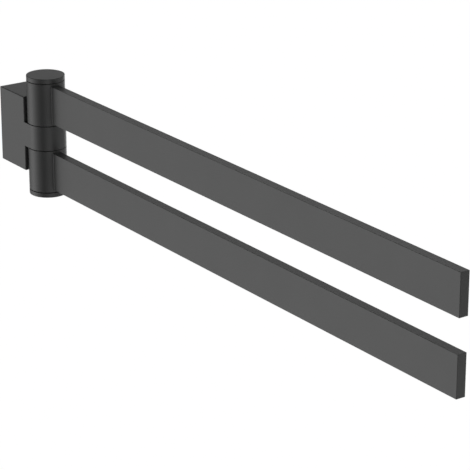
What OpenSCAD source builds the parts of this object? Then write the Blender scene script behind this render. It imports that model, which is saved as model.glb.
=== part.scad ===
// Swing arm towel bar: two flat bars swing one above the other about one upright barrel,
// whose middle is the lug of a wall bracket. Lengths are in millimetres.
// The wall is the plane y = 0, the bars point along -Y at rest, and z = 0 is halfway up the barrel.

/* [Reach] */
// Distance from the wall to the free ends of the bars
projection = 455; // [200:5:600]
// Distance from the wall to the barrel's axis
axis_reach = 38.2; // [36.5:0.1:48]

/* [Bars] */
// Height of each bar
bar_height = 25; // [22:0.5:36]
// Thickness of each bar
bar_thickness = 6; // [4:0.5:9]
// Rounding of each bar's long edges, and chamfer around its free end
bar_edge = 0.2; // [0.2:0.1:1]
// Depth to which a bar's root is let into its sleeve
bar_seat = 2; // [1:0.1:2.2]
// Radius of the brazed fillets between bar and sleeve
braze_fillet = 2.4; // [0.8:0.1:3]

/* [Barrel] */
// Outer diameter of the sleeves, the lug and the caps, and the bracket's width
barrel_d = 25; // [24:0.5:30]
// Height of the bracket's lug between the two sleeves
lug_height = 16; // [12:0.5:30]
// Length of sleeve that stands past the bar at each end
sleeve_margin = 1.6; // [1:0.1:5]
// Wall of a sleeve at its mouth
sleeve_wall = 2.7; // [2.5:0.1:3.2]
// Height of the shadow gap at each seam of the barrel
seam = 0.4; // [0.2:0.05:0.7]
// Chamfer on the ends of the sleeves
sleeve_chamfer = 0.2; // [0.1:0.05:0.5]

/* [Caps] */
// Height of a cap's visible disc
cap_height = 3; // [2.5:0.25:6]
// Rounding of a cap's outer rim
cap_round = 0.3; // [0.2:0.1:1.5]
// Depth to which a cap's spigot enters its sleeve
spigot_depth = 3.4; // [2.6:0.1:5]
// Thickness of the rubber ring that holds a cap
ring_section = 1.3; // [1:0.1:1.5]

/* [Swivel] */
// Diameter of the rod that the sleeves turn on
rod_d = 10; // [9:0.5:11]
// Step in radius from the rod to its threaded ends
rod_shoulder = 1; // [0.8:0.1:1.5]
// Wall of the bushes
bush_wall = 1; // [0.8:0.1:1.5]
// Thickness of the bushes' flanges
bush_flange = 1; // [0.8:0.1:1.6]
// Thickness of the thrust washers
washer_thickness = 1; // [0.6:0.1:1.6]
// Height of the conical disc springs
spring_height = 1.6; // [1.2:0.1:2.2]
// Thickness of the disc springs' metal
spring_metal = 0.9; // [0.5:0.1:1.1]
// Height of the lock nuts
nut_height = 5; // [4.5:0.25:6]

/* [Bracket] */
// Height of the bracket's block
block_height = 50; // [46:1:60]
// Distance from the barrel's axis back to the block's flat front
front_setback = 7.7; // [6.5:0.1:9]
// Rounding of all the block's edges except those on the wall
block_round = 0.6; // [0.4:0.1:2]
// Space between the block's hollow front and the sleeves
recess_gap = 0.3; // [0.25:0.05:0.8]
// Casting thickness between the hollow front and the cored back
recess_wall = 4.2; // [3:0.1:6]
// Thickness of the block's top and side walls
block_wall = 3; // [2.5:0.1:3.6]
// Thickness of the block's bottom wall, which holds the clamp screw
thread_wall = 5; // [4:0.25:6]

/* [Wall fixing] */
// Thickness of the hidden wall plate
plate_thickness = 9; // [8.5:0.25:11]
// Thickness of the plate's full-size front part
plate_lip = 3.3; // [2.5:0.1:4]
// Depth of the undercut along the plate's top and bottom edges
plate_bevel = 2.2; // [1.6:0.1:2.8]
// Space around the plate inside the block
plate_gap = 0.3; // [0.2:0.05:0.5]
// Distance between the two wall screws
screw_spacing = 26; // [22:1:27]
// Diameter of the holes for the wall screws
wall_hole_d = 4.5; // [3.5:0.5:5.5]
// Diameter of the countersinks for the wall screws' heads
wall_sink_d = 8.6; // [7:0.2:10]

/* [Grub screws] */
// Diameter of the clamp screw and of the rod's lock screw
grub_d = 5; // [4:0.5:5]
// Width across the flats of their hexagon sockets
socket_width = 2.5; // [2:0.25:2.5]
// Depth to which the clamp screw is set back into the block
grub_setback = 0.5; // [0.2:0.1:1]
// Length of the rod's lock screw
lock_length = 8; // [6:0.5:10]

/* [Clearances] */
// Radial clearance of the bushes on the rod
running_gap = 0.05; // [0.02:0.01:0.1]
// Radial clearance of parts that are pushed or screwed together
push_gap = 0.02; // [0.01:0.005:0.04]
// Gap of the brazed joint around a bar's root
braze_gap = 0.05; // [0.02:0.01:0.1]
// Radial space around the flanges inside a sleeve
flange_gap = 0.2; // [0.1:0.05:0.4]

/* [Hidden] */
$fn = 96;

// Colours
satin_black = [0.35, 0.36, 0.355];
zinc_grey = [0.62, 0.63, 0.65];
bright_steel = [0.72, 0.73, 0.75];
dark_steel = [0.25, 0.25, 0.27];
bush_white = [0.90, 0.89, 0.85];
ring_rubber = [0.12, 0.12, 0.12];

// Length that a cut runs past what it cuts
overrun = 1;

// Barrel, measured from its axis and from z = 0
barrel_r = barrel_d / 2;
lug_top = lug_height / 2;
sleeve_length = bar_height + 2 * sleeve_margin;
sleeve_start = lug_top + seam;
sleeve_end = sleeve_start + sleeve_length;
cap_start = sleeve_end + seam;
bar_middle = sleeve_start + sleeve_length / 2;
seat_reach = barrel_r - bar_seat;

// Bores of a sleeve
cap_bore_r = barrel_r - sleeve_wall;
cap_step = 0.6;
stack_bore_r = cap_bore_r - cap_step;
bush_bore_r = rod_d / 2 + running_gap;
bush_r = bush_bore_r + bush_wall;
flange_r = stack_bore_r - flange_gap;
flange_recess = bush_flange - seam;

// Levels of the swivel stack, from the cap inwards
rod_tip = 0.5;
tip_room = 0.5;
spigot_start = sleeve_end - spigot_depth;
rod_end = spigot_start - tip_room;
nut_end = rod_end - rod_tip;
nut_start = nut_end - nut_height;
spring_start = nut_start - spring_height;
washer_start = spring_start - washer_thickness;
stack_floor = washer_start - bush_flange;
bush_space = 0.6;
bush_length = (stack_floor - sleeve_start - flange_recess - bush_space) / 2;

// Rod
rod_r = rod_d / 2;
thread_r = rod_r - rod_shoulder;
shoulder_drop = 0.4;
rod_chamfer = 0.5;
rod_flat = 0.6;
rod_flat_height = 8;

// Washers, springs and nuts
thread_clearance = 0.2;
washer_r = flange_r - flange_gap;
spring_r = washer_r - spring_metal;
nut_width_share = 1.625;
nut_width = nut_width_share * 2 * thread_r;
nut_collar_share = 0.2;
nut_collar_inset = 0.5;
nut_collar_r = nut_width / 2 - nut_collar_inset;

// Caps
spigot_r = cap_bore_r - push_gap;
spigot_wall = 2.6;
cap_roof = 1.8;
ring_r = cap_bore_r - push_gap - ring_section / 2;
groove_r = ring_r - ring_section / 2 - push_gap;
ring_side_gap = 0.04;
groove_width = ring_section + 2 * ring_side_gap;

// Bracket
block_width = barrel_d;
recess_r = barrel_r + recess_gap;
block_depth = axis_reach - front_setback;
core_depth = axis_reach - recess_r - recess_wall;
core_rim = 2;
core_round = 2;
pocket_round = 1.5;
pocket_width = block_width - 2 * block_wall;
pocket_top = block_height / 2 - block_wall;
pocket_bottom = -block_height / 2 + thread_wall;
pocket_depth = plate_thickness + plate_gap;

// Wall plate and the hook behind its upper edge
plate_width = pocket_width - 2 * plate_gap;
plate_top = pocket_top - plate_gap;
plate_bottom = pocket_bottom + plate_gap;
plate_back = plate_thickness - plate_lip - plate_bevel;
hook_depth = plate_back - (sqrt(2) - 1) * plate_gap;
clamp_y = plate_back + plate_bevel / 2;

// Grub screws
grub_r = grub_d / 2;
cone_tip_r = 0.2;
flat_tip_chamfer = 0.5;
socket_depth = 2.4;
clamp_tip_gap = 0.04;
clamp_tip = plate_bottom + plate_bevel / 2 - cone_tip_r - clamp_tip_gap;

// Moves the barrel's parts out to their axis
module on_axis() {
    translate([0, -axis_reach, 0]) children();
}

// Turns a shape of the upper half into its twin of the lower half
module lower_half() {
    mirror([0, 0, 1]) children();
}

// Rectangle with round corners, centred
module rounded_rectangle(width, height, radius) {
    square([width - 2 * radius, height], center = true);
    square([width, height - 2 * radius], center = true);
    for (side = [-1, 1], end = [-1, 1])
        translate([side * (width / 2 - radius), end * (height / 2 - radius)]) circle(radius);
}

// Shape drawn as seen from the front, run out from the wall to a depth
module out_from_wall(depth) {
    rotate([90, 0, 0]) linear_extrude(depth) children();
}

// Outline that reaches from behind the wall to the block's front, where its corners are round
module block_outline(size) {
    length = block_depth + block_round + overrun;
    translate([length / 2 - block_depth, 0]) rounded_rectangle(length, size, block_round);
}

// Block with its round edges, and the lug that carries the rod
module bracket_outside() {
    intersection() {
        out_from_wall(block_depth + overrun) rounded_rectangle(block_width, block_height, block_round);
        rotate([0, 0, 90]) linear_extrude(block_height + overrun, center = true) block_outline(block_width);
        rotate([90, 0, 90]) linear_extrude(block_width + overrun, center = true) block_outline(block_height);
    }
    translate([0, 0, -lug_top]) linear_extrude(lug_height) {
        translate([-block_width / 2, -axis_reach]) square([block_width, axis_reach - plate_thickness]);
        translate([0, -axis_reach]) circle(barrel_r);
    }
}

// Hollow fronts above and below the lug, in which the sleeves turn
module sleeve_recesses() {
    for (half = [0, 1]) mirror([0, 0, half]) on_axis() translate([0, 0, lug_top])
        cylinder(r = recess_r, h = block_height / 2 - lug_top + overrun);
}

// Hollow back: a pocket for the wall plate, and a deeper core inside its rim
module bracket_hollow() {
    middle = (pocket_top + pocket_bottom) / 2;
    pocket_height = pocket_top - pocket_bottom;
    translate([0, overrun, middle]) out_from_wall(pocket_depth + overrun)
        rounded_rectangle(pocket_width, pocket_height, pocket_round);
    translate([0, overrun, middle]) out_from_wall(core_depth + overrun)
        rounded_rectangle(pocket_width - 2 * core_rim, pocket_height - 2 * core_rim, core_round);
}

// Ridge across the mouth of the pocket, which hooks behind the plate's upper edge
module bracket_hook() {
    hook_bottom = plate_top - plate_bevel + plate_gap;
    translate([-block_width / 2 + block_wall / 2, 0, 0]) rotate([90, 0, 90])
        linear_extrude(block_width - block_wall) polygon([
            [0, hook_bottom],
            [0, pocket_top + block_wall / 2],
            [-hook_depth - pocket_top + hook_bottom, pocket_top + block_wall / 2],
            [-hook_depth - pocket_top + hook_bottom, pocket_top],
            [-hook_depth, hook_bottom],
        ]);
}

// Holes for the rod, its lock screw and the clamp screw
module bracket_holes() {
    hole_r = grub_r + push_gap;
    on_axis() cylinder(r = rod_r + push_gap, h = lug_height + 2 * overrun, center = true);
    translate([0, -core_depth + overrun, 0]) out_from_wall(axis_reach - core_depth + overrun) circle(hole_r);
    translate([0, -clamp_y, -block_height / 2 - overrun]) cylinder(r = hole_r, h = thread_wall + 2 * overrun);
}

module wall_bracket() {
    color(satin_black) difference() {
        union() {
            difference() {
                bracket_outside();
                sleeve_recesses();
                bracket_hollow();
            }
            bracket_hook();
        }
        bracket_holes();
    }
}

// Side view of the plate, with both edges undercut towards the wall
module plate_outline() {
    polygon([
        [0, plate_bottom + plate_bevel],
        [-plate_back, plate_bottom + plate_bevel],
        [-plate_back - plate_bevel, plate_bottom],
        [-plate_thickness, plate_bottom],
        [-plate_thickness, plate_top],
        [-plate_back - plate_bevel, plate_top],
        [-plate_back, plate_top - plate_bevel],
        [0, plate_top - plate_bevel],
    ]);
}

module wall_plate() {
    middle = (plate_top + plate_bottom) / 2;
    sink_depth = (wall_sink_d - wall_hole_d) / 2;
    color(zinc_grey) difference() {
        intersection() {
            translate([-plate_width / 2, 0, 0]) rotate([90, 0, 90]) linear_extrude(plate_width) plate_outline();
            translate([0, overrun, middle]) out_from_wall(plate_thickness + 2 * overrun)
                rounded_rectangle(plate_width, plate_top - plate_bottom, pocket_round - plate_gap);
        }
        for (end = [-1, 1]) translate([0, overrun, end * screw_spacing / 2]) {
            out_from_wall(plate_thickness + 2 * overrun) circle(d = wall_hole_d);
            translate([0, -overrun - plate_thickness + sink_depth, 0]) rotate([90, 0, 0])
                cylinder(d1 = wall_hole_d, d2 = wall_sink_d + 2 * overrun, h = sink_depth + overrun);
        }
    }
}

// Headless screw with a hexagon socket, its tip at the origin and pointing up
module grub_screw(length, tip_r, tip_length) {
    difference() {
        rotate_extrude() polygon([
            [0, 0], [tip_r, 0], [grub_r, -tip_length], [grub_r, -length], [0, -length],
        ]);
        translate([0, 0, -length - overrun])
            cylinder(d = socket_width / cos(30), h = socket_depth + overrun, $fn = 6);
    }
}

module clamp_screw() {
    length = clamp_tip + block_height / 2 - grub_setback;
    color(dark_steel) translate([0, -clamp_y, clamp_tip])
        grub_screw(length, cone_tip_r, grub_r - cone_tip_r);
}

module rod_lock_screw() {
    color(dark_steel) on_axis() translate([0, rod_r - rod_flat, 0]) rotate([90, 0, 0])
        grub_screw(lock_length, grub_r - flat_tip_chamfer, flat_tip_chamfer);
}

// Rod with threaded ends and a flat for its lock screw
module pivot_rod() {
    shoulder = washer_start - shoulder_drop;
    color(bright_steel) on_axis() difference() {
        rotate_extrude() polygon([
            [0, -rod_end],
            [thread_r - rod_chamfer, -rod_end],
            [thread_r, -rod_end + rod_chamfer],
            [thread_r, -shoulder],
            [rod_r, -shoulder],
            [rod_r, shoulder],
            [thread_r, shoulder],
            [thread_r, rod_end - rod_chamfer],
            [thread_r - rod_chamfer, rod_end],
            [0, rod_end],
        ]);
        translate([-rod_r, rod_r - rod_flat, -rod_flat_height / 2]) cube([rod_d, rod_flat + overrun, rod_flat_height]);
    }
}

// Turned sleeve with its bores, from the lug's side to the cap's side
module sleeve_turning() {
    rotate_extrude() polygon([
        [bush_r + push_gap, sleeve_start + flange_recess],
        [stack_bore_r, sleeve_start + flange_recess],
        [stack_bore_r, sleeve_start],
        [barrel_r - sleeve_chamfer, sleeve_start],
        [barrel_r, sleeve_start + sleeve_chamfer],
        [barrel_r, sleeve_end - sleeve_chamfer],
        [barrel_r - sleeve_chamfer, sleeve_end],
        [cap_bore_r, sleeve_end],
        [cap_bore_r, spigot_start],
        [stack_bore_r, spigot_start],
        [stack_bore_r, stack_floor],
        [bush_r + push_gap, stack_floor],
    ]);
}

// Hollow-faced fillet in one corner between bar and sleeve, seen from above
module braze_outline(side) {
    bite_share = 0.94;
    reach = braze_fillet * bite_share;
    across = bar_thickness / 2 + braze_gap + reach;
    along = -sqrt(pow(barrel_r + reach, 2) - pow(across, 2));
    inside_share = seat_reach / (barrel_r + reach);
    difference() {
        polygon([
            [side * (across - reach), -seat_reach],
            [side * (across - reach), along],
            [side * across, along],
            [side * across * inside_share, along * inside_share],
        ]);
        translate([side * across, along]) circle(braze_fillet);
    }
}

// Sleeve with its mortise for the bar and the fillets beside it
module sleeve() {
    fillet_height = bar_height - 2 * bar_edge;
    mortise_height = bar_height + 2 * braze_gap;
    on_axis() {
        difference() {
            sleeve_turning();
            translate([-bar_thickness / 2 - braze_gap, -barrel_r - overrun, bar_middle - mortise_height / 2])
                cube([bar_thickness + 2 * braze_gap, bar_seat + overrun, mortise_height]);
        }
        for (side = [-1, 1]) translate([0, 0, bar_middle - fillet_height / 2])
            linear_extrude(fillet_height) braze_outline(side);
    }
}

// Flat bar with round long edges and a chamfered free end
module bar() {
    root = axis_reach + seat_reach + braze_gap;
    side_outline = [
        [-root, -bar_height / 2],
        [-projection + bar_edge, -bar_height / 2],
        [-projection, -bar_height / 2 + bar_edge],
        [-projection, bar_height / 2 - bar_edge],
        [-projection + bar_edge, bar_height / 2],
        [-root, bar_height / 2],
    ];
    top_outline = [
        [-bar_thickness / 2, -root],
        [-bar_thickness / 2, -projection + bar_edge],
        [-bar_thickness / 2 + bar_edge, -projection],
        [bar_thickness / 2 - bar_edge, -projection],
        [bar_thickness / 2, -projection + bar_edge],
        [bar_thickness / 2, -root],
    ];
    translate([0, 0, bar_middle]) intersection() {
        translate([0, -root + overrun, 0]) out_from_wall(projection - root + 2 * overrun)
            rounded_rectangle(bar_thickness, bar_height, bar_edge);
        translate([-bar_thickness, 0, 0]) rotate([90, 0, 90])
            linear_extrude(2 * bar_thickness) polygon(side_outline);
        translate([0, 0, -bar_height]) linear_extrude(2 * bar_height) polygon(top_outline);
    }
}

// Flanged bush, its flange below the origin and its body above
module bush(length) {
    rotate_extrude() polygon([
        [bush_bore_r, -bush_flange],
        [flange_r, -bush_flange],
        [flange_r, 0],
        [bush_r, 0],
        [bush_r, length],
        [bush_bore_r, length],
    ]);
}

// Bush whose flange bears on the lug and makes the seam
module inner_bush() {
    on_axis() translate([0, 0, sleeve_start + flange_recess]) bush(bush_length);
}

// Bush whose flange carries the thrust washer
module outer_bush() {
    on_axis() translate([0, 0, stack_floor]) mirror([0, 0, 1]) bush(bush_length);
}

module thrust_washer() {
    on_axis() translate([0, 0, washer_start]) linear_extrude(washer_thickness) difference() {
        circle(washer_r);
        circle(thread_r + thread_clearance);
    }
}

module disc_spring() {
    inner_r = thread_r + thread_clearance;
    on_axis() translate([0, 0, spring_start]) rotate_extrude() polygon([
        [spring_r, 0],
        [spring_r, spring_metal],
        [inner_r, spring_height],
        [inner_r, spring_height - spring_metal],
    ]);
}

// Hexagon nut with chamfered corners and a round locking collar
module lock_nut() {
    hexagon_height = nut_height * (1 - nut_collar_share);
    corner_r = nut_width / 2 / cos(30);
    corner_drop = (corner_r - nut_width / 2) * tan(30);
    on_axis() translate([0, 0, nut_start]) difference() {
        union() {
            intersection() {
                cylinder(r = corner_r, h = hexagon_height, $fn = 6);
                rotate_extrude() polygon([
                    [0, 0],
                    [nut_width / 2, 0],
                    [corner_r, corner_drop],
                    [corner_r, hexagon_height - corner_drop],
                    [nut_width / 2, hexagon_height],
                    [0, hexagon_height],
                ]);
            }
            cylinder(r = nut_collar_r, h = nut_height);
        }
        translate([0, 0, -overrun]) cylinder(r = thread_r + push_gap, h = nut_height + 2 * overrun);
    }
}

// Section of a cap: its disc with a round rim, and its spigot with a groove for the ring
module cap_section() {
    groove_middle = sleeve_end - spigot_depth / 2;
    difference() {
        union() {
            translate([0, cap_start]) {
                square([barrel_r - cap_round, cap_height]);
                square([barrel_r, cap_height - cap_round]);
                translate([barrel_r - cap_round, cap_height - cap_round]) circle(cap_round);
            }
            translate([0, spigot_start]) square([spigot_r, spigot_depth + seam]);
        }
        translate([0, spigot_start - overrun])
            square([spigot_r - spigot_wall, spigot_depth + seam + cap_height - cap_roof + overrun]);
        translate([groove_r, groove_middle - groove_width / 2]) square([ring_section + overrun, groove_width]);
    }
}

module cap() {
    on_axis() rotate_extrude() cap_section();
}

module cap_ring() {
    on_axis() rotate_extrude() translate([ring_r, sleeve_end - spigot_depth / 2]) circle(d = ring_section);
}

module upper_sleeve() { color(satin_black) sleeve(); }
module upper_bar() { color(satin_black) bar(); }
module upper_inner_bush() { color(bush_white) inner_bush(); }
module upper_outer_bush() { color(bush_white) outer_bush(); }
module upper_thrust_washer() { color(bright_steel) thrust_washer(); }
module upper_disc_spring() { color(dark_steel) disc_spring(); }
module upper_lock_nut() { color(bright_steel) lock_nut(); }
module top_cap() { color(satin_black) cap(); }
module top_cap_ring() { color(ring_rubber) cap_ring(); }

module lower_sleeve() { color(satin_black) lower_half() sleeve(); }
module lower_bar() { color(satin_black) lower_half() bar(); }
module lower_inner_bush() { color(bush_white) lower_half() inner_bush(); }
module lower_outer_bush() { color(bush_white) lower_half() outer_bush(); }
module lower_thrust_washer() { color(bright_steel) lower_half() thrust_washer(); }
module lower_disc_spring() { color(dark_steel) lower_half() disc_spring(); }
module lower_lock_nut() { color(bright_steel) lower_half() lock_nut(); }
module bottom_cap() { color(satin_black) lower_half() cap(); }
module bottom_cap_ring() { color(ring_rubber) lower_half() cap_ring(); }

wall_bracket();
wall_plate();
clamp_screw();
pivot_rod();
rod_lock_screw();
upper_sleeve();
upper_bar();
upper_inner_bush();
upper_outer_bush();
upper_thrust_washer();
upper_disc_spring();
upper_lock_nut();
top_cap();
top_cap_ring();
lower_sleeve();
lower_bar();
lower_inner_bush();
lower_outer_bush();
lower_thrust_washer();
lower_disc_spring();
lower_lock_nut();
bottom_cap();
bottom_cap_ring();
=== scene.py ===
"""Swing arm towel bar: finishes, threaded pieces and studio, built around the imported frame."""

import logging
import math
from dataclasses import dataclass, field
from enum import Enum
from typing import Callable

import bmesh
import bpy
from mathutils import Matrix, Vector


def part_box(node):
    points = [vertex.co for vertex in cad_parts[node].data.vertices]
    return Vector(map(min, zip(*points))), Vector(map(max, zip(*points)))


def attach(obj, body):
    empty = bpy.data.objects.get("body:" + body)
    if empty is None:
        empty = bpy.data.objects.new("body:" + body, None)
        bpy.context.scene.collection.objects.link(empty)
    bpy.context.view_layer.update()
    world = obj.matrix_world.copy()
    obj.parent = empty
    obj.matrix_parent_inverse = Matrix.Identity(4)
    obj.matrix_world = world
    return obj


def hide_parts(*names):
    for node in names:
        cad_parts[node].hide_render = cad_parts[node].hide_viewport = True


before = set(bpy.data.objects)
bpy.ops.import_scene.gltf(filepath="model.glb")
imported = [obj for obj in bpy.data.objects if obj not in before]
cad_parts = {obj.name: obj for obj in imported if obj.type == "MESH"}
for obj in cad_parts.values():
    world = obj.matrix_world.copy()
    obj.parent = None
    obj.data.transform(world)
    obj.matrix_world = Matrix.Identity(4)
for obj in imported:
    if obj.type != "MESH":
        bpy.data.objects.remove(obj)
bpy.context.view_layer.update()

LOG = logging.getLogger("towel_bar")
MM = 0.001

Span = tuple[float, float]
Triple = tuple[float, float, float]
Profile = list[tuple[float, float]]
Relief = Callable[[float, float, float], float]


class Half(Enum):
    """The two arms, one above the other."""

    UPPER = "upper"
    LOWER = "lower"

    @property
    def prefix(self) -> str:
        """Start of the names of this arm's nodes."""
        return self.value

    @property
    def cap(self) -> str:
        """Name of the cap that closes this arm's sleeve."""
        return "top_cap" if self is Half.UPPER else "bottom_cap"


class Hide(Enum):
    """What light may not do with an object that belongs to the studio."""

    REFLECTIONS = "visible_glossy"
    BOUNCES = "visible_diffuse"
    SHADOWS = "visible_shadow"


# Materials


@dataclass(frozen=True)
class Grain:
    """A noise pattern, counted in features per metre, and the relief that it gives.

    Its squash is the scale along each axis, for a drawn or turned grain, and its depth is in metres.
    """

    scale: float
    detail: float
    depth: float = 0.0
    strength: float = 0.5
    squash: Triple = (1.0, 1.0, 1.0)


class Nodes:
    """Short way to write a material's or world's node tree.

    Its noise span holds the noise values that count as low and high. Its edge span says how far the
    rounded normal agrees with the true one on an edge and on flat ground.
    """

    noise_span: Span = (0.35, 0.65)
    edge_span: Span = (0.80, 0.995)
    edge_samples = 6

    def __init__(self, tree: bpy.types.NodeTree) -> None:
        """Starts with an empty tree.

        Args:
            tree: the node tree to fill.
        """
        self.tree = tree
        tree.nodes.clear()

    def add(self, kind: str, /, **settings: object) -> bpy.types.Node:
        """Adds one node.

        Args:
            kind: the node's type, without the word ShaderNode.
            settings: the node's properties by name.

        Returns:
            The new node.
        """
        node = self.tree.nodes.new("ShaderNode" + kind)
        for name, value in settings.items():
            setattr(node, name, value)
        return node

    def link(self, source: bpy.types.NodeSocket, target: bpy.types.NodeSocket) -> None:
        """Joins an output to an input."""
        self.tree.links.new(source, target)

    def math(self, operation: str, first: bpy.types.NodeSocket,
             second: float | bpy.types.NodeSocket | None = None) -> bpy.types.NodeSocket:
        """Adds one step of arithmetic.

        Args:
            operation: Blender's name for it.
            first: the value that it works on.
            second: a number or another value, if it takes two.

        Returns:
            The result.
        """
        node = self.add("Math", operation=operation)
        self.link(first, node.inputs[0])
        if isinstance(second, bpy.types.NodeSocket):
            self.link(second, node.inputs[1])
        elif second is not None:
            node.inputs[1].default_value = second
        return node.outputs["Value"]

    def noise(self, grain: Grain) -> bpy.types.NodeSocket:
        """Noise in the object's own metres.

        Args:
            grain: its size and stretch.

        Returns:
            The noise's value, about 0.5 on average.
        """
        place = self.add("TexCoord")
        mapping = self.add("Mapping")
        mapping.inputs["Scale"].default_value = grain.squash
        texture = self.add("TexNoise")
        texture.inputs["Scale"].default_value = grain.scale
        texture.inputs["Detail"].default_value = grain.detail
        self.link(place.outputs["Object"], mapping.inputs["Vector"])
        self.link(mapping.outputs["Vector"], texture.inputs["Vector"])
        return texture.outputs["Fac"]

    def between(self, value: bpy.types.NodeSocket, low: float, high: float,
                span: Span = noise_span) -> bpy.types.NodeSocket:
        """Maps a value to a range, by default a noise.

        Args:
            value: the value to map.
            low: result where the value is at the start of its span, or before it.
            high: result where it is at the end of its span, or past it.
            span: the value's start and end.

        Returns:
            The mapped value.
        """
        node = self.add("MapRange", clamp=True)
        self.link(value, node.inputs["Value"])
        for name, number in zip(("From Min", "From Max", "To Min", "To Max"), (*span, low, high)):
            node.inputs[name].default_value = number
        return node.outputs["Result"]

    def blend(self, amount: bpy.types.NodeSocket, first: Triple,
              second: Triple) -> bpy.types.NodeSocket:
        """Mixes two colours by a value.

        Args:
            amount: 0 gives the first colour, 1 the second.
            first: linear colour.
            second: linear colour.

        Returns:
            The mixed colour.
        """
        node = self.add("Mix", data_type="RGBA")
        self.link(amount, node.inputs["Factor"])
        node.inputs["A"].default_value = (*first, 1.0)
        node.inputs["B"].default_value = (*second, 1.0)
        return node.outputs["Result"]

    def blend_over(self, amount: bpy.types.NodeSocket, under: bpy.types.NodeSocket,
                   over: Triple) -> bpy.types.NodeSocket:
        """Lays a colour over a colour that comes from other nodes.

        Args:
            amount: how much of the upper colour shows.
            under: the lower colour.
            over: the upper, linear colour.

        Returns:
            The mixed colour.
        """
        node = self.add("Mix", data_type="RGBA")
        self.link(amount, node.inputs["Factor"])
        self.link(under, node.inputs["A"])
        node.inputs["B"].default_value = (*over, 1.0)
        return node.outputs["Result"]

    def relief(self, grain: Grain, height: bpy.types.NodeSocket,
               under: bpy.types.NodeSocket | None = None) -> bpy.types.NodeSocket:
        """Adds relief to the surface.

        Args:
            grain: its depth and strength.
            height: the relief's height from 0 to 1.
            under: the normal of a coarser relief below this one.

        Returns:
            The bent normal.
        """
        node = self.add("Bump")
        node.inputs["Strength"].default_value = grain.strength
        node.inputs["Distance"].default_value = grain.depth
        self.link(height, node.inputs["Height"])
        if under is not None:
            self.link(under, node.inputs["Normal"])
        return node.outputs["Normal"]

    def edges(self, radius: float) -> bpy.types.NodeSocket:
        """Finds the outer and inner edges of a piece.

        Args:
            radius: metres from the edge at which the effect ends.

        Returns:
            0 on flat ground, rising towards 1 on an edge.
        """
        bevel = self.add("Bevel", samples=self.edge_samples)
        bevel.inputs["Radius"].default_value = radius
        plain = self.add("NewGeometry")
        dot = self.add("VectorMath", operation="DOT_PRODUCT")
        self.link(bevel.outputs["Normal"], dot.inputs[0])
        self.link(plain.outputs["Normal"], dot.inputs[1])
        return self.between(dot.outputs["Value"], 1.0, 0.0, self.edge_span)


class Finish:
    """A finish of the object: it makes its material once and hands it to each piece."""

    label: str = "finish"

    def shader(self, nodes: Nodes, surface: bpy.types.Node) -> None:
        """Fills in the surface shader; each finish has its own.

        Args:
            nodes: the material's tree.
            surface: its Principled shader.
        """
        raise NotImplementedError

    def material(self) -> bpy.types.Material:
        """Makes the material at the first call.

        Returns:
            The material, the same one at each call.
        """
        found = bpy.data.materials.get(self.label)
        if found:
            return found
        made = bpy.data.materials.new(self.label)
        made.use_nodes = True
        nodes = Nodes(made.node_tree)
        output = nodes.add("OutputMaterial")
        surface = nodes.add("BsdfPrincipled")
        nodes.link(surface.outputs["BSDF"], output.inputs["Surface"])
        self.shader(nodes, surface)
        return made

    def dress(self, piece: bpy.types.Object) -> None:
        """Puts the material on every slot of a piece.

        Args:
            piece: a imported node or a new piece.
        """
        if not piece.material_slots:
            piece.data.materials.append(self.material())
        for slot in piece.material_slots:
            slot.material = self.material()


@dataclass(frozen=True)
class SatinBlack(Finish):
    """Satin black powder coat: even, with a faint orange peel and painted shade that darkens its
    edges.
    """

    label: str = "finish_satin_black"
    film: Triple = (0.0310, 0.0316, 0.0313)
    film_light: Triple = (0.0325, 0.0331, 0.0328)
    # Painted shade: a darker colour laid along the edges, standing in for the dark shading of
    # rounded edges
    painted_edge_shade: Triple = (0.0265, 0.0268, 0.0266)
    satin: Span = (0.38, 0.40)
    cloud: Grain = Grain(scale=45.0, detail=3.0)
    peel: Grain = Grain(scale=1100.0, detail=2.0, depth=12e-6, strength=0.6)
    grit: Grain = Grain(scale=7000.0, detail=2.0, depth=3e-6, strength=0.5)
    edge_reach: float = 0.15 * MM

    def shader(self, nodes: Nodes, surface: bpy.types.Node) -> None:
        """Nearly even film, with painted shade darkening the edges, and two sizes of relief.

        Args:
            nodes: the material's tree.
            surface: its Principled shader.
        """
        cloud = nodes.noise(self.cloud)
        film = nodes.blend(nodes.between(cloud, 0.0, 1.0), self.film, self.film_light)
        # Painted shade: the edges are darkened in the base colour
        edge_shaded = nodes.blend_over(nodes.edges(self.edge_reach), film, self.painted_edge_shade)
        peeled = nodes.relief(self.peel, nodes.noise(self.peel))
        nodes.link(edge_shaded, surface.inputs["Base Color"])
        nodes.link(nodes.between(cloud, *self.satin), surface.inputs["Roughness"])
        nodes.link(nodes.relief(self.grit, nodes.noise(self.grit), peeled), surface.inputs["Normal"])


@dataclass(frozen=True)
class PlatedSteel(Finish):
    """Zinc-plated steel with a soft spangle and faint rolling marks."""

    label: str = "finish_plated_steel"
    bright: Triple = (0.46, 0.47, 0.49)
    dull: Triple = (0.33, 0.34, 0.36)
    polish: Span = (0.54, 0.44)
    spangle: Grain = Grain(scale=260.0, detail=4.0)
    rolling: Grain = Grain(
        scale=90.0, detail=3.0, depth=8e-6, strength=0.6, squash=(12.0, 12.0, 1.0))

    def shader(self, nodes: Nodes, surface: bpy.types.Node) -> None:
        """Metal whose colour follows the spangle and whose relief follows the rolling.

        Args:
            nodes: the material's tree.
            surface: its Principled shader.
        """
        spangle = nodes.noise(self.spangle)
        colour = nodes.blend(nodes.between(spangle, 0.0, 1.0), self.dull, self.bright)
        surface.inputs["Metallic"].default_value = 1.0
        nodes.link(colour, surface.inputs["Base Color"])
        nodes.link(nodes.between(spangle, *self.polish), surface.inputs["Roughness"])
        nodes.link(nodes.relief(self.rolling, nodes.noise(self.rolling)), surface.inputs["Normal"])


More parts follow.
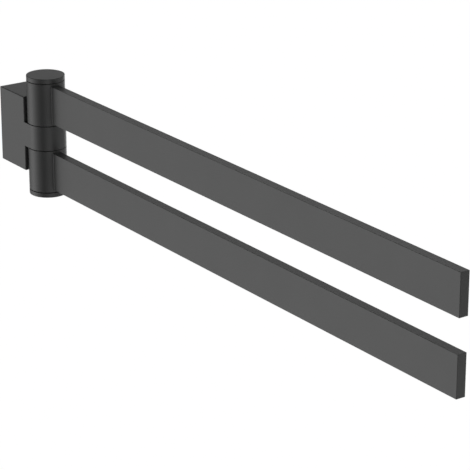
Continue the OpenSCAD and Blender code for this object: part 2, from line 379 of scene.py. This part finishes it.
@dataclass(frozen=True)
class TurnedSteel(Finish):
    """Bright steel from the lathe, with fine rings round its axis."""

    label: str = "finish_bright_steel"
    bright: Triple = (0.66, 0.66, 0.67)
    dull: Triple = (0.50, 0.50, 0.52)
    polish: Span = (0.34, 0.22)
    turning: Grain = Grain(scale=60.0, detail=4.0, depth=4e-6, squash=(1.0, 1.0, 120.0))

    def shader(self, nodes: Nodes, surface: bpy.types.Node) -> None:
        """Metal with rings that are long round the axis and short along it.

        Args:
            nodes: the material's tree.
            surface: its Principled shader.
        """
        rings = nodes.noise(self.turning)
        colour = nodes.blend(nodes.between(rings, 0.0, 1.0), self.dull, self.bright)
        surface.inputs["Metallic"].default_value = 1.0
        nodes.link(colour, surface.inputs["Base Color"])
        nodes.link(nodes.between(rings, *self.polish), surface.inputs["Roughness"])
        nodes.link(nodes.relief(self.turning, rings), surface.inputs["Normal"])


@dataclass(frozen=True)
class BlackOxide(Finish):
    """Oiled black oxide on hardened steel, browner on its edges."""

    label: str = "finish_black_oxide"
    oxide: Triple = (0.026, 0.026, 0.029)
    oxide_light: Triple = (0.050, 0.049, 0.050)
    bare: Triple = (0.16, 0.145, 0.135)
    metal_share: float = 0.6
    oiled: Span = (0.30, 0.44)
    blotch: Grain = Grain(scale=900.0, detail=4.0, depth=5e-6, strength=0.4)
    edge_reach: float = 0.15 * MM

    def shader(self, nodes: Nodes, surface: bpy.types.Node) -> None:
        """Half metallic film, rubbed through on the edges.

        Args:
            nodes: the material's tree.
            surface: its Principled shader.
        """
        blotch = nodes.noise(self.blotch)
        oxide = nodes.blend(nodes.between(blotch, 0.0, 1.0), self.oxide, self.oxide_light)
        rubbed = nodes.blend_over(nodes.edges(self.edge_reach), oxide, self.bare)
        surface.inputs["Metallic"].default_value = self.metal_share
        nodes.link(rubbed, surface.inputs["Base Color"])
        nodes.link(nodes.between(blotch, *self.oiled), surface.inputs["Roughness"])
        nodes.link(nodes.relief(self.blotch, blotch), surface.inputs["Normal"])


@dataclass(frozen=True)
class MouldedPlastic(Finish):
    """Natural acetal of the bushes: milky, slightly waxy, with faint flow marks."""

    label: str = "finish_bush_plastic"
    milky: Triple = (0.74, 0.73, 0.68)
    milky_dark: Triple = (0.66, 0.65, 0.60)
    waxy: Span = (0.42, 0.34)
    skin_share: float = 0.15
    skin: Triple = (1.0 * MM, 0.9 * MM, 0.7 * MM)
    flow: Grain = Grain(
        scale=140.0, detail=3.0, depth=6e-6, strength=0.3, squash=(1.0, 1.0, 4.0))

    def shader(self, nodes: Nodes, surface: bpy.types.Node) -> None:
        """Soft plastic with light that enters its skin.

        Args:
            nodes: the material's tree.
            surface: its Principled shader.
        """
        flow = nodes.noise(self.flow)
        colour = nodes.blend(nodes.between(flow, 0.0, 1.0), self.milky_dark, self.milky)
        surface.inputs["Subsurface Weight"].default_value = self.skin_share
        surface.inputs["Subsurface Radius"].default_value = self.skin
        nodes.link(colour, surface.inputs["Base Color"])
        nodes.link(nodes.between(flow, *self.waxy), surface.inputs["Roughness"])
        nodes.link(nodes.relief(self.flow, flow), surface.inputs["Normal"])


@dataclass(frozen=True)
class RingRubber(Finish):
    """Black nitrile of the cap rings, dull with a trace of bloom."""

    label: str = "finish_ring_rubber"
    black: Triple = (0.012, 0.012, 0.013)
    grey: Triple = (0.040, 0.040, 0.038)
    dullness: Span = (0.55, 0.72)
    bloom: Grain = Grain(scale=700.0, detail=5.0, depth=8e-6, strength=0.4)

    def shader(self, nodes: Nodes, surface: bpy.types.Node) -> None:
        """Dull rubber with a patchy bloom.

        Args:
            nodes: the material's tree.
            surface: its Principled shader.
        """
        bloom = nodes.noise(self.bloom)
        colour = nodes.blend(nodes.between(bloom, 0.0, 1.0), self.black, self.grey)
        nodes.link(colour, surface.inputs["Base Color"])
        nodes.link(nodes.between(bloom, *self.dullness), surface.inputs["Roughness"])
        nodes.link(nodes.relief(self.bloom, bloom), surface.inputs["Normal"])


@dataclass(frozen=True)
class StudioFloor(Finish):
    """Plain pale floor that stays evenly lit: it glows, and takes little light from the studio."""

    label: str = "studio_floor"
    matt: Triple = (0.04, 0.04, 0.04)
    pale: Triple = (1.0, 1.0, 1.0)
    glow: float = 0.99

    def shader(self, nodes: Nodes, surface: bpy.types.Node) -> None:
        """Matt, with a pale glow of its own.

        Args:
            nodes: the material's tree.
            surface: its Principled shader.
        """
        surface.inputs["Base Color"].default_value = (*self.matt, 1.0)
        surface.inputs["Roughness"].default_value = 1.0
        surface.inputs["Specular IOR Level"].default_value = 0.0
        surface.inputs["Emission Color"].default_value = (*self.pale, 1.0)
        surface.inputs["Emission Strength"].default_value = self.glow


SATIN_BLACK = SatinBlack()
PLATED_STEEL = PlatedSteel()
TURNED_STEEL = TurnedSteel()
BLACK_OXIDE = BlackOxide()
MOULDED_PLASTIC = MouldedPlastic()
RING_RUBBER = RingRubber()


# Turned and threaded shapes


# Slack for two places along a profile, in points, or for two heights, in millimetres
NEARLY = 1e-3
# Points of a turned piece that lie closer than this many metres are one
WELD = 1e-7
# Faces that go round a turned piece
STEPS_ROUND = 72
# Edges that turn by less than this many degrees are shaded smooth
SMOOTH_BELOW = 35.0
# Angle from the middle of a hexagon's flat to its corner
FLAT_TO_CORNER = math.pi / 6


@dataclass(frozen=True)
class Thread:
    """A right-handed screw thread, cut into the turned surface between two heights.

    Its shares say how deep the groove is beside its pitch, how steep its flanks are, how wide its
    crests are and over how much of a turn it runs out.
    """

    pitch: float
    start: float
    end: float
    inside: bool = False
    depth_share: float = 0.54
    flank_share: float = 2.4
    crest_share: float = 0.5
    run_out_share: float = 0.8
    rings_per_turn: int = 8

    def rings(self, length: float) -> int:
        """Number of rings that show the thread over a length."""
        return round(self.rings_per_turn * length / self.pitch)

    def relief(self, angle: float, height: float, radius: float) -> float:
        """Radius of the threaded surface at one place.

        Args:
            angle: turn about the axis.
            height: place along the axis.
            radius: radius of the crests.

        Returns:
            The radius, smaller in the grooves, or larger in an inside thread.
        """
        phase = (height / self.pitch - angle / (2 * math.pi)) % 1.0
        groove = min(1.0, max(0.0, self.flank_share * (1 - abs(2 * phase - 1)) - self.crest_share))
        fade = min(height - self.start, self.end - height) / (self.run_out_share * self.pitch)
        cut = self.depth_share * self.pitch * groove * min(1.0, max(0.0, fade))
        return radius + cut if self.inside else radius - cut


def hexagon_radius(angle: float, across: float) -> float:
    """Radius of a hexagon at an angle.

    Args:
        angle: turn about the axis.
        across: distance between two opposite flats.

    Returns:
        Distance from the axis to the outline.
    """
    off_flat = (angle % (2 * FLAT_TO_CORNER)) - FLAT_TO_CORNER
    return across / 2 / math.cos(off_flat)


def hexagon_corner(across: float) -> float:
    """Distance from a hexagon's axis to its corners, from the distance across its flats."""
    return across / 2 / math.cos(FLAT_TO_CORNER)


@dataclass(frozen=True)
class Work:
    """What is worked into a turned surface between two points of its profile.

    It counts the profile's points from 0, and the rings that each stretch between them gets.
    """

    first: int
    last: int
    relief: Relief
    rings: int = 0

    def shape(self, vert: bmesh.types.BMVert, place: float) -> None:
        """Moves one point of the surface to the radius that the relief gives.

        Args:
            vert: the point.
            place: its place along the profile, counted in points.
        """
        radius = math.hypot(vert.co.x, vert.co.y)
        if self.first - NEARLY <= place <= self.last + NEARLY and radius > 0:
            angle = math.atan2(vert.co.y, vert.co.x) % (2 * math.pi)
            scale = self.relief(angle, vert.co.z, radius) / radius
            vert.co.x *= scale
            vert.co.y *= scale


def turned(profile: Profile, work: list[Work]) -> bmesh.types.BMesh:
    """Makes a closed solid of revolution about its own Z axis, with reliefs worked into its surface.

    Args:
        profile: radius and height of each point.
        work: what is worked into it.

    Returns:
        The closed mesh, with its faces pointing outwards.
    """
    bm = bmesh.new()
    layer = bm.verts.layers.float.new("profile_place")
    points = [bm.verts.new((radius, 0.0, height)) for radius, height in profile]
    for place, point in enumerate(points):
        point[layer] = float(place)
    stretches = [bm.edges.new(pair) for pair in zip(points, points[1:])]
    for job in work:
        for stretch in stretches[job.first:job.last] if job.rings else ():
            bmesh.ops.subdivide_edges(bm, edges=[stretch], cuts=job.rings)
    bmesh.ops.spin(bm, geom=bm.verts[:] + bm.edges[:], cent=(0, 0, 0), axis=(0, 0, 1),
                   dvec=(0, 0, 0), angle=2 * math.pi, steps=STEPS_ROUND, use_merge=True,
                   use_duplicate=False)
    bmesh.ops.remove_doubles(bm, verts=bm.verts[:], dist=WELD)
    for job in work:
        for vert in bm.verts:
            job.shape(vert, vert[layer])
    bmesh.ops.recalc_face_normals(bm, faces=bm.faces[:])
    return bm


def finished(bm: bmesh.types.BMesh, name: str, place: Matrix) -> bpy.types.Object:
    """Turns a mesh into a piece whose place is in its mesh.

    Args:
        bm: the mesh, about its own axis. It is freed.
        name: the piece's name.
        place: where it goes in the frame.

    Returns:
        The object, at the origin.
    """
    bmesh.ops.transform(bm, matrix=place, verts=bm.verts[:])
    for face in bm.faces:
        face.smooth = True
    for edge in bm.edges:
        inside = len(edge.link_faces) == 2
        edge.smooth = inside and edge.calc_face_angle(0.0) < math.radians(SMOOTH_BELOW)
    data = bpy.data.meshes.new(name)
    bm.to_mesh(data)
    bm.free()
    piece = bpy.data.objects.new(name, data)
    bpy.context.scene.collection.objects.link(piece)
    return piece


@dataclass
class GrubScrew:
    """Headless screw with a thread and a hexagon socket, its tip at the origin and pointing up."""

    name: str
    length: float
    tip_radius: float
    tip_length: float
    radius: float = 2.5 * MM
    pitch: float = 0.8 * MM
    socket_across: float = 2.5 * MM
    socket_depth: float = 2.4 * MM
    socket_chamfer: float = 0.15 * MM
    drill_cone: float = 0.5 * MM
    end_chamfer: float = 0.4 * MM

    def build(self, place: Matrix) -> bpy.types.Object:
        """Turns, threads and broaches the screw.

        Args:
            place: where its tip goes, and which way it points.

        Returns:
            The piece.
        """
        mouth = hexagon_corner(self.socket_across)
        bottom = -self.length
        profile = [
            (0.0, 0.0),
            (self.tip_radius, 0.0),
            (self.radius, -self.tip_length),
            (self.radius, bottom + self.end_chamfer),
            (self.radius - self.end_chamfer, bottom),
            (mouth + self.socket_chamfer, bottom),
            (mouth, bottom + self.socket_chamfer),
            (mouth, bottom + self.socket_depth),
            (0.0, bottom + self.socket_depth + self.drill_cone),
        ]
        thread = Thread(self.pitch, bottom, -self.tip_length)
        shank = Work(first=2, last=3, relief=thread.relief, rings=thread.rings(self.length))
        socket = Work(first=6, last=7, relief=self.socket)
        return finished(turned(profile, [shank, socket]), self.name, place)

    def socket(self, angle: float, height: float, radius: float) -> float:
        """Radius of the socket's wall at an angle, the same at each height."""
        return hexagon_radius(angle, self.socket_across)


# Sub-assemblies


def dress_nodes(finish: Finish, *nodes: str) -> None:
    """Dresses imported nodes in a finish.

    Args:
        finish: the finish they get.
        nodes: their names.
    """
    for name in nodes:
        finish.dress(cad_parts[name])
        LOG.info("dressed %s in %s", name, finish.label)


@dataclass
class WallMount:
    """Block on the wall, the plate under it and the screw that clamps it."""

    clamp_cone_length: float = 2.3 * MM
    clamp_tip_radius: float = 0.2 * MM

    def build(self) -> None:
        """Dresses the block and its plate, and makes the threaded clamp screw."""
        dress_nodes(SATIN_BLACK, "wall_bracket")
        dress_nodes(PLATED_STEEL, "wall_plate")
        low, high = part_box("clamp_screw")
        screw = GrubScrew(
            name="clamp_screw_threaded",
            length=high.z - low.z,
            tip_radius=self.clamp_tip_radius,
            tip_length=self.clamp_cone_length,
        )
        tip = Vector(((low.x + high.x) / 2, (low.y + high.y) / 2, high.z))
        piece = screw.build(Matrix.Translation(tip))
        BLACK_OXIDE.dress(piece)
        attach(piece, "bracket")
        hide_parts("clamp_screw")
        LOG.info("made %s", piece.name)


@dataclass
class Swivel:
    """Rod, lock screw, and the washers, springs and nuts that set each arm's friction.

    Its axis is a point on the barrel's axis, level with the middle of the barrel.
    """

    axis: Vector = field(init=False)
    thread_radius: float = 4.0 * MM
    thread_pitch: float = 1.25 * MM
    shoulder_drop: float = 0.4 * MM
    chamfer: float = 0.5 * MM
    flat_height: float = 8.0 * MM
    flat_run_out: float = 0.3 * MM
    lock_chamfer: float = 0.5 * MM
    nut_collar_share: float = 0.2
    nut_collar_inset: float = 0.5 * MM
    nut_collar_chamfer: float = 0.35 * MM
    nut_bore_chamfer: float = 0.3 * MM
    nut_bore_gap: float = 0.02 * MM
    nut_corner_slope: float = math.tan(math.pi / 6)
    nut_rings: int = 5

    def __post_init__(self) -> None:
        """Takes the barrel's axis from the cap that stands on it."""
        self.axis = Vector((0.0, sum(corner.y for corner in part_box("top_cap")) / 2, 0.0))

    def build(self) -> None:
        """Makes the threaded pieces and dresses the plain ones."""
        for piece, node, finish, slot in (
            (self.rod(), "pivot_rod", TURNED_STEEL, "bright_steel"),
            (self.lock_screw(), "rod_lock_screw", BLACK_OXIDE, "black_oxide"),
            (self.nut(Half.UPPER), "upper_lock_nut", TURNED_STEEL, "bright_steel"),
            (self.nut(Half.LOWER), "lower_lock_nut", TURNED_STEEL, "bright_steel"),
        ):
            finish.dress(piece)
            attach(piece, "bracket")
            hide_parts(node)
            LOG.info("made %s", piece.name)
        for half in Half:
            dress_nodes(TURNED_STEEL, f"{half.prefix}_thrust_washer")
            dress_nodes(BLACK_OXIDE, f"{half.prefix}_disc_spring")

    def rod(self) -> bpy.types.Object:
        """Turns the rod, threads both ends and mills the flat for its lock screw.

        Returns:
            The piece.
        """
        low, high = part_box("pivot_rod")
        radius = (high.x - low.x) / 2
        end = high.z
        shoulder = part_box("upper_thrust_washer")[0].z - self.shoulder_drop
        half_profile = [
            (0.0, end),
            (self.thread_radius - self.chamfer, end),
            (self.thread_radius, end - self.chamfer),
            (self.thread_radius, shoulder),
            (radius, shoulder),
        ]
        profile = half_profile + [(reach, -height) for reach, height in reversed(half_profile)]
        upper = Thread(self.thread_pitch, shoulder, end + self.thread_pitch)
        lower = Thread(self.thread_pitch, -end - self.thread_pitch, -shoulder)
        rings = upper.rings(end - shoulder)
        upper_end = Work(first=2, last=3, relief=upper.relief, rings=rings)
        lower_end = Work(first=6, last=7, relief=lower.relief, rings=rings)
        bm = turned(profile, [upper_end, lower_end])
        self.mill_flat(bm)
        return finished(bm, "pivot_rod_threaded", Matrix.Translation(self.axis))

    def mill_flat(self, bm: bmesh.types.BMesh) -> None:
        """Mills the flat that the lock screw bears on, with a short run-out at both ends.

        Args:
            bm: the rod about its own axis.
        """
        half = self.flat_height / 2
        for height in (-half - self.flat_run_out, -half, half, half + self.flat_run_out):
            bmesh.ops.bisect_plane(bm, geom=bm.verts[:] + bm.edges[:] + bm.faces[:],
                                   plane_co=(0, 0, height), plane_no=(0, 0, 1))
        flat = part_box("rod_lock_screw")[0].y - self.axis.y
        for vert in bm.verts:
            if abs(vert.co.z) <= half + NEARLY * MM:
                vert.co.y = min(vert.co.y, flat)

    def lock_screw(self) -> bpy.types.Object:
        """Makes the screw that bears on the rod's flat.

        Returns:
            The piece.
        """
        low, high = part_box("rod_lock_screw")
        screw = GrubScrew(
            name="rod_lock_screw_threaded",
            length=high.y - low.y,
            tip_radius=(high.x - low.x) / 2 - self.lock_chamfer,
            tip_length=self.lock_chamfer,
        )
        turn = Matrix.Rotation(math.pi / 2, 4, "X")
        return screw.build(Matrix.Translation((0.0, low.y, 0.0)) @ turn)

    def nut(self, half: Half) -> bpy.types.Object:
        """Makes a hexagon nut with a threaded bore and a round locking collar.

        Args:
            half: the arm whose stack it holds.

        Returns:
            The piece.
        """
        low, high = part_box(f"{half.prefix}_lock_nut")
        height = high.z - low.z
        across = high.y - low.y
        corner = hexagon_corner(across)
        drop = (corner - across / 2) * self.nut_corner_slope
        hexagon_top = height * (1 - self.nut_collar_share)
        collar = across / 2 - self.nut_collar_inset
        bore = self.thread_radius + self.nut_bore_gap
        mouth = bore + self.nut_bore_chamfer
        profile = [
            (mouth, 0.0),
            (across / 2, 0.0),
            (corner, drop),
            (corner, hexagon_top - drop),
            (across / 2, hexagon_top),
            (collar, hexagon_top),
            (collar, height - self.nut_collar_chamfer),
            (collar - self.nut_collar_chamfer, height),
            (mouth, height),
            (bore, height - self.nut_bore_chamfer),
            (bore, self.nut_bore_chamfer),
            (mouth, 0.0),
        ]
        thread = Thread(self.thread_pitch, 0.0, height, inside=True)
        flats = Work(
            first=1, last=4, rings=self.nut_rings,
            relief=lambda angle, level, radius: min(radius, hexagon_radius(angle, across)))
        bore_thread = Work(first=9, last=10, relief=thread.relief, rings=thread.rings(height))
        base = low.z if half is Half.UPPER else high.z
        flip = Matrix.Identity(4) if half is Half.UPPER else Matrix.Rotation(math.pi, 4, "X")
        place = Matrix.Translation((0.0, self.axis.y, base)) @ flip
        nut = turned(profile, [flats, bore_thread])
        return finished(nut, f"{half.prefix}_lock_nut_threaded", place)


@dataclass
class Arm:
    """One arm: sleeve with its bar, bushes, cap and ring."""

    half: Half

    def build(self) -> None:
        """Dresses the arm's nodes."""
        prefix = self.half.prefix
        dress_nodes(SATIN_BLACK, f"{prefix}_sleeve", f"{prefix}_bar", self.half.cap)
        dress_nodes(MOULDED_PLASTIC, f"{prefix}_inner_bush", f"{prefix}_outer_bush")
        dress_nodes(RING_RUBBER, f"{self.half.cap}_ring")


# Studio


def direction(azimuth: float, elevation: float) -> Vector:
    """Unit vector that points from the object to a place round it.

    Args:
        azimuth: degrees from straight in front of the wall, counted towards +X.
        elevation: degrees above the object.

    Returns:
        The vector.
    """
    turn = math.radians(azimuth)
    rise = math.radians(elevation)
    level = math.cos(rise)
    return Vector((math.sin(turn) * level, -math.cos(turn) * level, math.sin(rise)))


@dataclass(frozen=True)
class SoftBox:
    """A round soft light on the studio's dome, brightest in its middle.

    Its place is in degrees, and a higher focus makes it smaller.
    """

    name: str
    azimuth: float
    elevation: float
    strength: float
    focus: float = 14.0

    def glow(self, nodes: Nodes, look: bpy.types.NodeSocket) -> bpy.types.NodeSocket:
        """Works out its light in one direction.

        Args:
            nodes: the world's tree.
            look: the direction.

        Returns:
            The strength of its light there.
        """
        dot = nodes.add("VectorMath", operation="DOT_PRODUCT")
        dot.inputs[1].default_value = direction(self.azimuth, self.elevation)
        nodes.link(look, dot.inputs[0])
        off_middle = nodes.math("SUBTRACT", dot.outputs["Value"], 1.0)
        falloff = nodes.math("MULTIPLY", off_middle, self.focus)
        LOG.info("hung %s", self.name)
        return nodes.math("MULTIPLY", nodes.math("EXPONENT", falloff), self.strength)


@dataclass
class Studio:
    """Pale floor, pale surroundings, soft lights and the camera.

    Lengths are in metres and angles in degrees, apart from the sensor's width in millimetres. The
    focal length is in pixels of the photograph.
    """

    floor_level: float = -3.0
    floor_side: float = 30.0
    pale: Triple = (1.0, 1.0, 1.0)
    camera_place: Triple = (-0.70148, -1.25916, 0.44113)
    camera_azimuth: float = -34.86
    camera_elevation: float = 20.03
    camera_reach: Span = (0.01, 100.0)
    focal_pixels: float = 2257.33
    image_side: int = 470
    sensor: float = 36.0
    boxes: tuple[SoftBox, ...] = (
        SoftBox("key_left", 240.0, -30.0, 2.5),
        SoftBox("key_left_front", 270.0, -30.0, 1.0),
        SoftBox("wall_glow_left", 225.0, 0.0, 1.95),
        SoftBox("wall_glow_low", 210.0, -30.0, 0.5),
        SoftBox("wall_glow_right", 135.0, 0.0, 1.55),
        SoftBox("fill_back_right", 150.0, -30.0, 2.0),
        SoftBox("fill_right", 120.0, -30.0, 1.15),
        SoftBox("fill_right_high", 90.0, 30.0, 1.0),
        SoftBox("fill_right_front", 60.0, -30.0, 0.8),
        SoftBox("floor_glow_back", 120.0, -60.0, 3.0),
        SoftBox("floor_glow_front", 60.0, -60.0, 3.0),
        SoftBox("fill_front_low", 0.0, -30.0, 0.95),
        SoftBox("fill_front_left", 337.0, 0.0, 1.65),
        SoftBox("fill_front_high", 30.0, 30.0, 2.1),
        SoftBox("top_back", 180.0, 60.0, 1.1),
    )

    def build(self) -> None:
        """Sets up everything around the object."""
        self.floor()
        self.surroundings()
        self.camera()
        bpy.context.scene.view_settings.view_transform = "Standard"

    def floor(self) -> None:
        """Lays the floor, which gives no reflections and stops no light."""
        bm = bmesh.new()
        bmesh.ops.create_grid(bm, x_segments=1, y_segments=1, size=self.floor_side / 2)
        floor = finished(bm, "studio_floor", Matrix.Translation((0.0, 0.0, self.floor_level)))
        StudioFloor().dress(floor)
        for hidden in Hide:
            setattr(floor, hidden.value, False)
        LOG.info("laid %s", floor.name)

    def surroundings(self) -> None:
        """Makes a room that looks pale, and whose dome carries the soft lights."""
        world = bpy.data.worlds.new("studio_room")
        bpy.context.scene.world = world
        world.use_nodes = True
        nodes = Nodes(world.node_tree)
        output = nodes.add("OutputWorld")
        mix = nodes.add("MixShader")
        path = nodes.add("LightPath")
        seen = nodes.add("Background")
        dome = nodes.add("Background")
        seen.inputs["Color"].default_value = (*self.pale, 1.0)
        look = nodes.add("TexCoord").outputs["Generated"]
        light = self.boxes[0].glow(nodes, look)
        for box in self.boxes[1:]:
            light = nodes.math("ADD", light, box.glow(nodes, look))
        nodes.link(light, dome.inputs["Strength"])
        nodes.link(path.outputs["Is Camera Ray"], mix.inputs["Fac"])
        nodes.link(dome.outputs["Background"], mix.inputs[1])
        nodes.link(seen.outputs["Background"], mix.inputs[2])
        nodes.link(mix.outputs["Shader"], output.inputs["Surface"])

    def camera(self) -> None:
        """Stands the camera where the photograph was taken."""
        data = bpy.data.cameras.new("photo_camera")
        data.sensor_width = self.sensor
        data.lens = self.focal_pixels / self.image_side * self.sensor
        data.clip_start, data.clip_end = self.camera_reach
        camera = bpy.data.objects.new("photo_camera", data)
        bpy.context.scene.collection.objects.link(camera)
        camera.location = self.camera_place
        back = direction(self.camera_azimuth, self.camera_elevation)
        camera.rotation_mode = "QUATERNION"
        camera.rotation_quaternion = back.to_track_quat("Z", "Y")
        bpy.context.scene.camera = camera
        LOG.info("set up %s", camera.name)


def main() -> None:
    """Builds the sub-assemblies and the studio in order."""
    logging.basicConfig(level=logging.INFO, format="%(message)s")
    WallMount().build()
    Swivel().build()
    for half in Half:
        Arm(half).build()
    Studio().build()


if __name__ == "__main__":
    main()
